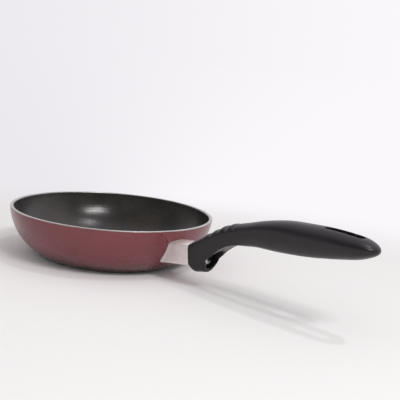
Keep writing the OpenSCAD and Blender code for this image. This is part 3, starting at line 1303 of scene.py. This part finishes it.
    def loft(self) -> Thing:
        """Solid handle before anything is cut out of it.

        Returns:
            The handle.
        """
        n, m = self.station_steps, self.nose_steps
        rows = [self.spline(t / n) for t in range(n * self.last + 1)]
        rows += [self.nose(math.sin(math.pi / 2 * k / m)) for k in range(1, m)]
        return lofted("grip_handle", [self.section(s) for s in rows])

    def top_at(self, x: float) -> float:
        """Height of the handle's top at a distance along it.

        Args:
            x: Distance from the front face.

        Returns:
            The height over the front face's middle.
        """
        low, high = 0.0, float(self.last)
        for _ in range(30):
            t = (low + high) / 2
            low, high = (t, high) if self.spline(t)[0] < x else (low, t)
        return self.spline(low)[1]

    def scoop(self) -> Thing:
        """Cylinder that hollows the neck's underside behind the lobe.

        Returns:
            The cutting tool.
        """
        cx = self.line.face_x + self.scoop_top[0]
        cz = self.line.face_z + self.scoop_top[1] - self.scoop_r
        loop = arc((cx, cz), self.scoop_r, 0, 360, self.scoop_steps)[:-1]
        sides = (-self.grip_w, self.grip_w)
        return lofted("scoop", [[(x, side, z) for x, z in loop] for side in sides])

    def hanging_slot(self) -> Thing:
        """Upright prism with round ends, which cuts the slot.

        Returns:
            The cutting tool.
        """
        r, x0, n = self.slot_w / 2, self.line.face_x, self.slot_steps
        loop = [*arc((x0 + self.slot_far, 0), r, -90, 90, n),
                *arc((x0 + self.slot_near, 0), r, 90, 270, n)]
        heights = (self.line.face_z, self.line.face_z + 2 * self.rise)
        return lofted("slot", [[(x, y, z) for x, y in loop] for z in heights])

    def dish(self) -> Thing:
        """Long round-ended bar that sinks a shallow dish around the slot.

        Returns:
            The cutting tool.
        """
        ends = [Vector((x, 0, self.top_at(x) + self.dish_r - self.dish_depth))
                for x in (self.slot_near, self.slot_far)]
        along = (ends[1] - ends[0]).normalized()
        side, up = Vector((0, 1, 0)), along.cross(Vector((0, 1, 0)))
        origin = Vector((self.line.face_x, 0, self.line.face_z))
        n = self.dish_steps
        steps = [(ends[0], k) for k in range(1 - n, 1)] + [(ends[1], k) for k in range(n)]
        rings = []
        for centre, k in steps:
            s = math.sin(math.pi / 2 * k / n)
            radius = self.dish_r * math.sqrt(1 - s * s)
            middle = origin + centre + along * self.dish_r * s
            rings.append([tuple(middle + radius * (c * side + d * up))
                          for c, d in circle(1.0, self.dish_sides)])
        return lofted("dish", rings)

    def tongue(self) -> Thing:
        """Stub that the handle pushes into the sleeve.

        Returns:
            The stub.
        """
        loop = self.sleeve.outline(self.sleeve.wall_t + self.tongue_gap)
        ends = (-self.tongue_len, self.tongue_root)
        return lofted("tongue", [[self.line.at(u, y, v) for y, v in loop] for u in ends])

    def ribs(self, grip: Thing, material: Material) -> None:
        """Press the shingled thumb ribs into the top of the handle.

        Args:
            grip: The handle.
            material: Its material.
        """
        sizes = {"Front": self.line.face_x, "Start": self.rib_start, "Pitch": self.rib_pitch,
                 "Count": float(self.rib_n), "Height": self.rib_h, "Sink": self.rib_sink,
                 "Rise": self.rib_rise, "Width": self.rib_w, "Fade": self.rib_fade}
        rig = Rig("thumb_ribs", sizes)
        bench = rig.bench
        front, start, pitch, number, height, sink, rise, width, fade = map(rig.given, sizes)
        x, y, _ = bench.split(bench.make("GeometryNodeInputPosition"))
        upward = bench.split(bench.make("GeometryNodeInputNormal"))[2]
        count = (x - front - start) / pitch
        part = count.fraction()
        tooth = (part / rise).least((1 - part) / (1 - rise))
        lift = tooth * height - sink
        within = count.step(0 - fade, 0.0) * (1 - (count - number).step(0.0, fade))
        spread = (1 - (abs(y * 2) / width) ** 6).most(0.0)
        move = bench.join(0.0, 0.0, lift * within * spread * upward.step(0.05, 0.35))
        moved = bench.make("GeometryNodeSetPosition", {},
                           {"Geometry": rig.given("Geometry"), "Offset": move})
        rig.close(moved, material)
        rig.run(grip)

    def build(self) -> Made:
        """Mould the handle.

        Returns:
            The piece with the node that it replaces and its material slot.
        """
        material = MouldedPhenolic().make()
        grip = self.loft()
        for tool in (self.scoop(), self.dish(), self.hanging_slot()):
            carve(grip, tool)
        carve(grip, self.tongue(), Boolean.JOIN)
        carve(grip, self.line.bar(-self.tongue_len - MM, self.seat_depth + MM, self.bore_d))
        pocket_end = self.pocket_share * self.scoop_top[0]
        carve(grip, self.line.bar(self.seat_depth, pocket_end, self.pocket_d))
        remesh = grip.modifiers.new("even_mesh", "REMESH")
        remesh.mode = "VOXEL"
        remesh.voxel_size = self.voxel
        rounding = grip.modifiers.new("moulded_edges", "SMOOTH")
        rounding.factor = self.edge_soften
        rounding.iterations = self.edge_passes
        settle(grip)
        self.ribs(grip, material)
        dress(grip, material, Corner.SOFT)
        return [(grip, "handle", "handle_plastic")]


@dataclass
class HandleScrew:
    """The round-headed screw that pulls the handle and the sleeve against the bowl."""

    line: ScrewLine
    head_at: float = 10.3 * MM
    tip_at: float = -21.5 * MM
    shank_d: float = 5 * MM
    tip_bevel: float = 0.7 * MM
    head_d: float = 11 * MM
    head_h: float = 3.2 * MM
    rim_r: float = 0.35 * MM
    recess_d: float = 4.2 * MM
    recess_w: float = 1.1 * MM
    recess_depth: float = 1.9 * MM
    thread_pitch: float = 0.8 * MM
    thread_depth: float = 0.35 * MM
    thread_share: float = 0.7
    dome_steps: int = 20
    facets: int = 72

    def half(self) -> Outline:
        """Half section, standing on its tip, with the thread as close rings.

        Returns:
            Radius and height of each point.
        """
        length, r = self.head_at - self.tip_at, self.shank_d / 2
        root, pitch, z = r - self.thread_depth, self.thread_pitch, self.tip_bevel
        points = [(0.0, 0.0), (r - self.tip_bevel, 0.0), (root, z)]
        while z + pitch < length * self.thread_share:
            points += [(r, z + pitch / 2), (root, z + pitch)]
            z += pitch
        points += [(r, z + pitch), (r, length)]
        big = (self.head_d**2 / 4 + self.head_h**2) / (2 * self.head_h)
        rim, soft = self.head_d / 2, self.rim_r
        points += [(rim - soft, length), (rim - soft * 0.25, length + soft * 0.2),
                   (rim, length + soft)]
        centre = length + self.head_h - big
        start = math.degrees(math.asin((length + 2 * soft - centre) / big))
        dome = arc((0.0, centre), big, start, 90, self.dome_steps)
        return [*points, *dome[:-1], (0.0, length + self.head_h)]

    def wing(self, turn: float) -> Thing:
        """Tapered bar that cuts one arm of the cross recess.

        Args:
            turn: Angle of the arm in radians.

        Returns:
            The cutting tool.
        """
        top = self.head_at - self.tip_at + self.head_h
        rings = []
        for depth, grow in ((-self.recess_depth, 0.5), (self.recess_depth, 1.5)):
            a, b = self.recess_d / 2 * grow, self.recess_w / 2 * mix(0.7, 1.0, grow)
            loop = [(-a, -b), (a, -b), (a, b), (-a, b)]
            c, s = math.cos(turn), math.sin(turn)
            rings.append([(x * c - y * s, x * s + y * c, top + depth) for x, y in loop])
        return lofted("wing", rings)

    def build(self) -> Made:
        """Turn the screw and cut its recess.

        Returns:
            The piece with the node that it replaces and its material slot.
        """
        seat, ahead = self.line.at(self.head_at, 0, 0), self.line.at(self.head_at + 1, 0, 0)
        axis = tuple(b - a for a, b in zip(seat, ahead))
        material = PlatedSteel(pocket_shade_at=seat, axis=axis).make()
        screw = turned("cross_head_screw", self.half(), material, self.facets)
        for turn in (math.pi / 4, -math.pi / 4):
            carve(screw, self.wing(turn))
        self.line.stand(screw, self.tip_at)
        dress(screw, material, Corner.CRISP)
        return [(screw, "handle_screw", "screw_steel")]


# The studio


@dataclass(frozen=True)
class Lamp:
    """A square soft lamp that points at the pan."""

    name: str
    aim: Point
    azimuth: float
    elevation: float
    distance: float
    size: float
    share: float

    def place(self) -> None:
        """Hang the lamp, facing its aim, with its share of a white floor's light."""
        a, e = math.radians(self.azimuth), math.radians(self.elevation)
        towards = Vector((math.cos(a) * math.cos(e), math.sin(a) * math.cos(e), math.sin(e)))
        data = bpy.data.lights.new(self.name, "AREA")
        data.shape = "SQUARE"
        data.size = self.size
        data.energy = self.share * (math.pi * self.distance) ** 2 / math.sin(e)
        lamp = bpy.data.objects.new(self.name, data)
        bpy.context.scene.collection.objects.link(lamp)
        lamp.location = Vector(self.aim) + towards * self.distance
        lamp.rotation_mode = "QUATERNION"
        lamp.rotation_quaternion = towards.to_track_quat("Z", "Y")


@dataclass(frozen=True)
class PhotoCamera:
    """The camera at the photograph's viewing angle."""

    image_px: float = 400.0
    focal_px: float = 944.0
    distance: float = 0.849267
    azimuth: float = 49.0
    elevation: float = 10.802
    roll: float = 4.32
    aim_px: tuple[float, float] = (112.422, 209.637)
    sensor: float = 36.0
    nearest: float = 0.02

    def back(self) -> Vector:
        """Direction from the rim's centre to the camera."""
        a, e = math.radians(self.azimuth), math.radians(self.elevation)
        return Vector((math.sin(a) * math.cos(e), -math.cos(a) * math.cos(e), math.sin(e)))

    def place(self, aim: Vector) -> None:
        """Set up the camera so that the aim falls on its place in the picture.

        Args:
            aim: The rim's centre.
        """
        a, tip = math.radians(self.azimuth), math.radians(self.roll)
        back = self.back()
        level = Vector((math.cos(a), math.sin(a), 0.0))
        up = back.cross(level)
        right = math.cos(tip) * level + math.sin(tip) * up
        over = -math.sin(tip) * level + math.cos(tip) * up
        half = self.image_px / 2
        seen = Vector((self.aim_px[0] - half, half - self.aim_px[1], -self.focal_px)).normalized()
        swing = Vector((0.0, 0.0, -1.0)).rotation_difference(seen).to_matrix()
        to_camera = swing @ Matrix((right, over, back))
        data = bpy.data.cameras.new("photo_camera")
        data.sensor_width = self.sensor
        data.lens = self.focal_px / self.image_px * self.sensor
        data.clip_start = self.nearest
        camera = bpy.data.objects.new("photo_camera", data)
        bpy.context.scene.collection.objects.link(camera)
        spot = Matrix.Translation(aim + back * self.distance)
        camera.matrix_world = spot @ to_camera.transposed().to_4x4()
        bpy.context.scene.camera = camera


@dataclass
class Studio:
    """The pale floor, the pale room around it and the lamps."""

    view: PhotoCamera
    floor_r: float = 6.0
    floor_z: float = -0.2 * MM
    floor_sides: int = 96
    floor: Colour = paint(243, 241, 242)
    backdrop: Colour = paint(251, 248, 252)
    backdrop_dim: Colour = paint(236, 233, 238)
    room: Colour = paint(255, 253, 252)
    worn_floor: Colour = paint(238, 235, 236)
    worn_share: float = 0.3
    floor_roughness: float = 0.8
    floor_gloss: float = 0.2
    grain: float = 400
    middle: tuple[float, float] = (0.14, -0.10)
    near: float = 0.33
    far: float = 0.55
    low_light: float = 0.57
    high_light: float = 0.78
    back_share: float = 0.7
    front_share: float = 1.15
    front_gloss: float = 0.17
    dim_from: float = 0.35
    dim_to: float = -0.25
    low_to: float = 0.8
    back_from: float = -0.3
    front_to: float = 0.6
    turn_from: float = -0.1
    turn_to: float = 0.8
    left_loss: float = 0.9

    def rightward(self, bench: Bench, direction: Value) -> Value:
        """How far a direction points to the right of the photograph's view.

        Args:
            bench: The tree's bench.
            direction: The direction.

        Returns:
            A number from -1 to 1.
        """
        a = math.radians(self.view.azimuth)
        x, y, _ = bench.split(direction)
        return x * math.cos(a) + y * math.sin(a)

    def backdrop_colour(self, bench: Bench, direction: Value) -> Value:
        """Backdrop, slightly dimmer towards the left of the photograph's view."""
        side = self.rightward(bench, direction)
        return bench.blend(side.step(self.dim_to, self.dim_from), self.backdrop_dim, self.backdrop)

    def rays(self, bench: Bench) -> list[Value]:
        """One on the rays of each kind: from the camera, from gloss and through glass."""
        return [bench.make("ShaderNodeLightPath", output=name)
                for name in ("Is Camera Ray", "Is Glossy Ray", "Is Transmission Ray")]

    def floor_material(self) -> Material:
        """Pale matt floor that keeps the shadows and fades into the backdrop.

        Returns:
            The material.
        """
        material, bench, place = canvas("pale_floor")
        x, y, _ = bench.split(place)
        across, along = x - self.middle[0], y - self.middle[1]
        grain = bench.noise(place, self.grain, 2).step(0.3, 0.7)
        paper = bench.blend(grain * self.worn_share, self.floor, self.worn_floor)
        matt = bench.make("ShaderNodeBsdfPrincipled", {},
                          {"Base Color": paper, "Roughness": self.floor_roughness,
                           "Specular IOR Level": self.floor_gloss})
        away = bench.make("ShaderNodeVectorMath", {"operation": "NORMALIZE"}, {0: place})
        glow = bench.make("ShaderNodeEmission", {},
                          {"Color": self.backdrop_colour(bench, away), "Strength": 1.0})
        camera, gloss, through = self.rays(bench)
        far_off = from_axis(across, along).step(self.near, self.far)
        share = far_off * camera.most(gloss).most(through)
        both = bench.make("ShaderNodeMixShader", {}, {0: share, 1: matt, 2: glow})
        bench.make("ShaderNodeOutputMaterial", {}, {"Surface": both})
        return material

    def build_floor(self) -> None:
        loop = arc((0.0, 0.0), self.floor_r, 0, 360, self.floor_sides)[:-1]
        mesh = bpy.data.meshes.new("studio_floor")
        mesh.from_pydata([(x, y, self.floor_z) for x, y in loop], [], [tuple(range(len(loop)))])
        floor = link("studio_floor", mesh)
        floor.data.materials.append(self.floor_material())

    def build_world(self) -> None:
        """Plain room light, and the backdrop for the camera, gloss and glass."""
        world = bpy.data.worlds.new("studio_room")
        bpy.context.scene.world = world
        world.use_nodes = True
        world.node_tree.nodes.clear()
        bench = Bench(world.node_tree)
        direction = bench.make("ShaderNodeTexCoord", output="Generated")
        seen = self.backdrop_colour(bench, direction)
        shown = bench.make("ShaderNodeBackground", {}, {"Color": seen, "Strength": 1.0})
        x, y, up = bench.split(direction)
        to_camera = self.view.back()
        ahead = x * to_camera.x + y * to_camera.y
        matt = (up.step(0.0, self.low_to, self.low_light, self.high_light)
                * ahead.step(self.back_from, self.front_to, self.back_share, self.front_share))
        camera, gloss, through = self.rays(bench)
        light = gloss * self.front_gloss + (1 - gloss) * matt
        plain = bench.make("ShaderNodeBackground", {}, {"Color": self.room, "Strength": light})
        left = (0 - self.rightward(bench, direction)).most(0.0)
        behind = 1 - (ahead + left * self.left_loss).step(self.turn_from, self.turn_to)
        share = camera.most(gloss.most(through) * behind)
        both = bench.make("ShaderNodeMixShader", {}, {0: share, 1: plain, 2: shown})
        bench.make("ShaderNodeOutputWorld", {}, {"Surface": both})

    def build(self) -> None:
        """Light the pan and lay what it stands on."""
        self.build_floor()
        self.build_world()
        grip, rim = (0.23, 0.0, 0.06), (0.0, 0.0, 0.043)
        Lamp("overhead_lamp", grip, azimuth=37.6, elevation=75.2, distance=1.5, size=0.10,
             share=0.11).place()
        Lamp("side_lamp", grip, azimuth=-8.4, elevation=49.0, distance=1.5, size=0.14,
             share=0.13).place()
        Lamp("front_softbox", rim, azimuth=-20.0, elevation=42.0, distance=1.6, size=0.27,
             share=0.125).place()


def keep(made: Made) -> None:
    """Put finished pieces on the body, in place of their nodes.

    Args:
        made: Each piece with the node that it replaces and its material slot.
    """
    for piece, node, slot in made:
        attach(piece, ROOT)
        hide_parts(node)
        LOG.info("%s replaces %s: %d faces", piece.name, node, len(piece.data.polygons))


def dress_nodes(materials: dict[str, Material]) -> None:
    """Give the nodes that stay as they are their materials.

    Args:
        materials: The material of each node.
    """
    for node, material in materials.items():
        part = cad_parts[node]
        part.data.materials.clear()
        part.data.materials.append(material)
        LOG.info("%s stays and is dressed in %s", node, material.name)


def main() -> None:
    """Build the pan, its studio and its camera."""
    logging.basicConfig(level=logging.INFO, format="%(message)s")
    bpy.context.scene.view_settings.view_transform = "Standard"
    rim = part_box("outer_enamel")[1]
    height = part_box("pan_body")[1].z
    bowl = Bowl(rim_r=90 * MM, height=height)
    LOG.info("enamel reaches %.2f mm, rim at %.2f mm", rim.x / MM, height / MM)
    line = ScrewLine(bowl)
    sleeve = Sleeve(line)
    grip = Grip(line, sleeve, length=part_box("handle")[1].x - line.face_x)
    aim = Vector((0.0, 0.0, bowl.height))
    view = PhotoCamera()
    view.place(aim)
    for part in (bowl, sleeve, grip, HandleScrew(line)):
        keep(part.build())
    steel = PlatedSteel("washer_steel").make()
    dress_nodes({"weld_lug": CastStub().make(), "spring_washer": steel, "plain_washer": steel})
    Studio(view).build()


if __name__ == "__main__":
    main()
